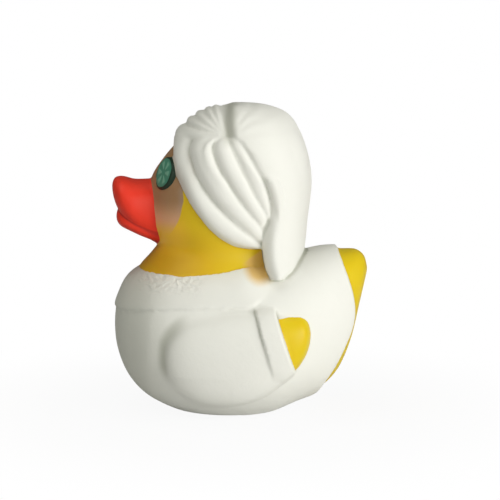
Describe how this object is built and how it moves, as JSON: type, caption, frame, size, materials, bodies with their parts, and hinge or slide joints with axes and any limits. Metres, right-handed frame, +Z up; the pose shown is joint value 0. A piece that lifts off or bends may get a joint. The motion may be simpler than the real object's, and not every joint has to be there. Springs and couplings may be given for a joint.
{
  "type": "rubber duck",
  "caption": "Hollow moulded bath duck in a painted bathrobe and towel turban, with slices over its eyes, that stands on a flat base.",
  "frame": {"origin": "centre of the duck's outline on the surface it stands on, under its middle", "axes": "+Z up through the turban's crown, -Y out of the beak, +X towards the duck's left wing"},
  "size_m": [0.0736, 0.0783, 0.0943],
  "materials": {
    "duck_vinyl": "matte white paint over soft yellow vinyl"
  },
  "bodies": {
    "root": {"duck": "duck_vinyl"}
  },
  "joints": []
}
